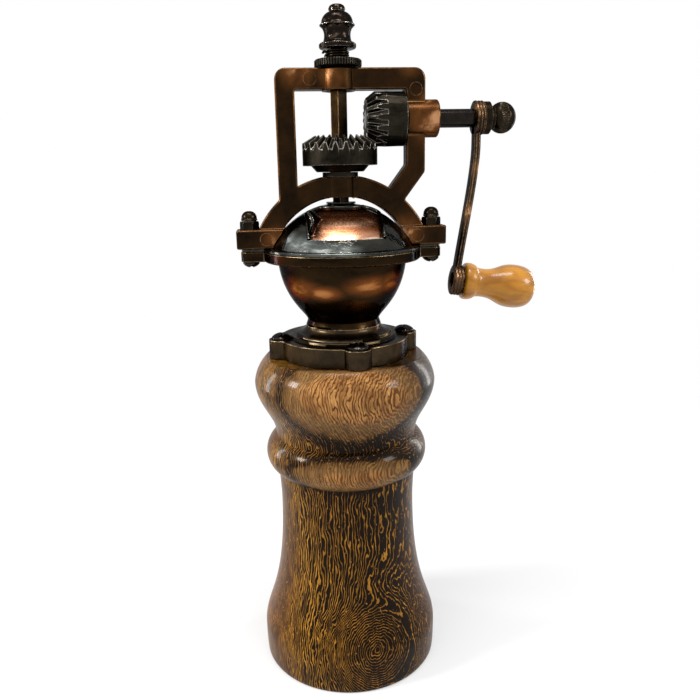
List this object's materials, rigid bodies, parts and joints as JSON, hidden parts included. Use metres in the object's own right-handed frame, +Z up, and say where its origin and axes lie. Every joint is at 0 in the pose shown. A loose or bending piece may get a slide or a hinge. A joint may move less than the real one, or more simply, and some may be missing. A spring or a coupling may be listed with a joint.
{
  "type": "hand cranked seed mill",
  "caption": "Upright hand mill for seeds: turned wooden body, bowl under a domed lid with a sliding door, yoke with open bevel gears, crank and burrs.",
  "frame": {"origin": "on the mill's vertical axis, in the plane that the body stands on", "axes": "+Z up the spindle, +X out along the crank's axis, -Y the front with the lid's door"},
  "size_m": [0.1002, 0.0626, 0.2222],
  "materials": {
    "dark_wood": "glossy lacquer over dark streaked wood",
    "light_wood": "lacquered light wood",
    "antique_copper": "cast, dark copper plated, worn bright at the edges",
    "dark_bronze": "cast, dark bronze",
    "black_gear": "matt black",
    "black_nickel": "black nickel, glossy",
    "dark_sheet": "polished dark sheet",
    "copper_sheet": "brushed coppery sheet",
    "dark_steel": "dark steel",
    "plain_steel": "plain steel"
  },
  "bodies": {
    "housing": {"wood_body": "dark_wood", "mounting_flange": "dark_bronze", "flange_screws": "black_nickel", "shaft_guide": "dark_steel", "hopper_bowl": "antique_copper", "hopper_dome": "dark_sheet", "dome_eyelet": "black_nickel", "yoke_frame": "antique_copper", "yoke_bolts": "black_nickel", "acorn_nuts": "black_nickel", "top_bush": "dark_steel", "hub_bush": "dark_steel", "crank_bush": "dark_steel", "stator_burr": "plain_steel", "bottom_bridge": "plain_steel", "bridge_screws": "plain_steel"},
    "door": {"dome_door": "copper_sheet"},
    "crank": {"crank_shaft": "black_nickel", "pinion_gear": "black_gear", "crank_arm": "antique_copper", "ball_nut": "black_nickel", "grip_axle": "dark_steel", "grip_washer": "dark_steel", "grip_nut": "dark_steel"},
    "grip": {"crank_grip": "light_wood"},
    "drive": {"crown_gear": "black_gear"},
    "adjuster": {"adjusting_nut": "black_nickel"},
    "spindle": {"square_spindle": "dark_steel", "spindle_finial": "black_nickel", "finial_spring": "black_nickel", "rotor_burr": "plain_steel", "rotor_washer": "plain_steel", "rotor_nut": "plain_steel"}
  },
  "joints": [
    {"name": "crank_turn", "type": "hinge", "parent": "housing", "child": "crank", "pos_m": [0.0317, 0, 0.1884], "axis": [1, 0, 0], "continuous": true},
    {"name": "grip_spin", "type": "hinge", "parent": "crank", "child": "grip", "pos_m": [0.0374, 0, 0.136], "axis": [0.9898, 0, -0.1426], "continuous": true},
    {"name": "drive_spin", "type": "hinge", "parent": "housing", "child": "drive", "pos_m": [0, 0, 0.1723], "axis": [0, 0, 1], "continuous": true},
    {"name": "door_slide", "type": "hinge", "parent": "housing", "child": "door", "pos_m": [0, 0, 0.161], "axis": [0, 0, 1], "range_deg": [0, 70]},
    {"name": "adjuster_turn", "type": "hinge", "parent": "drive", "child": "adjuster", "pos_m": [0, 0, 0.20371], "axis": [0, 0, 1], "range_deg": [-270, 270]},
    {"name": "spindle_rise", "type": "slide", "parent": "drive", "child": "spindle", "axis": [0, 0, 1], "range_m": [-0.00052, 0.00052], "deforming": ["finial_spring"]}
  ],
  "couplings": [
    {"joint": "drive_spin", "follows": "crank_turn", "ratio": 0.69565},
    {"joint": "adjuster_turn", "follows": "spindle_rise", "rad_per_m": -8976}
  ]
}
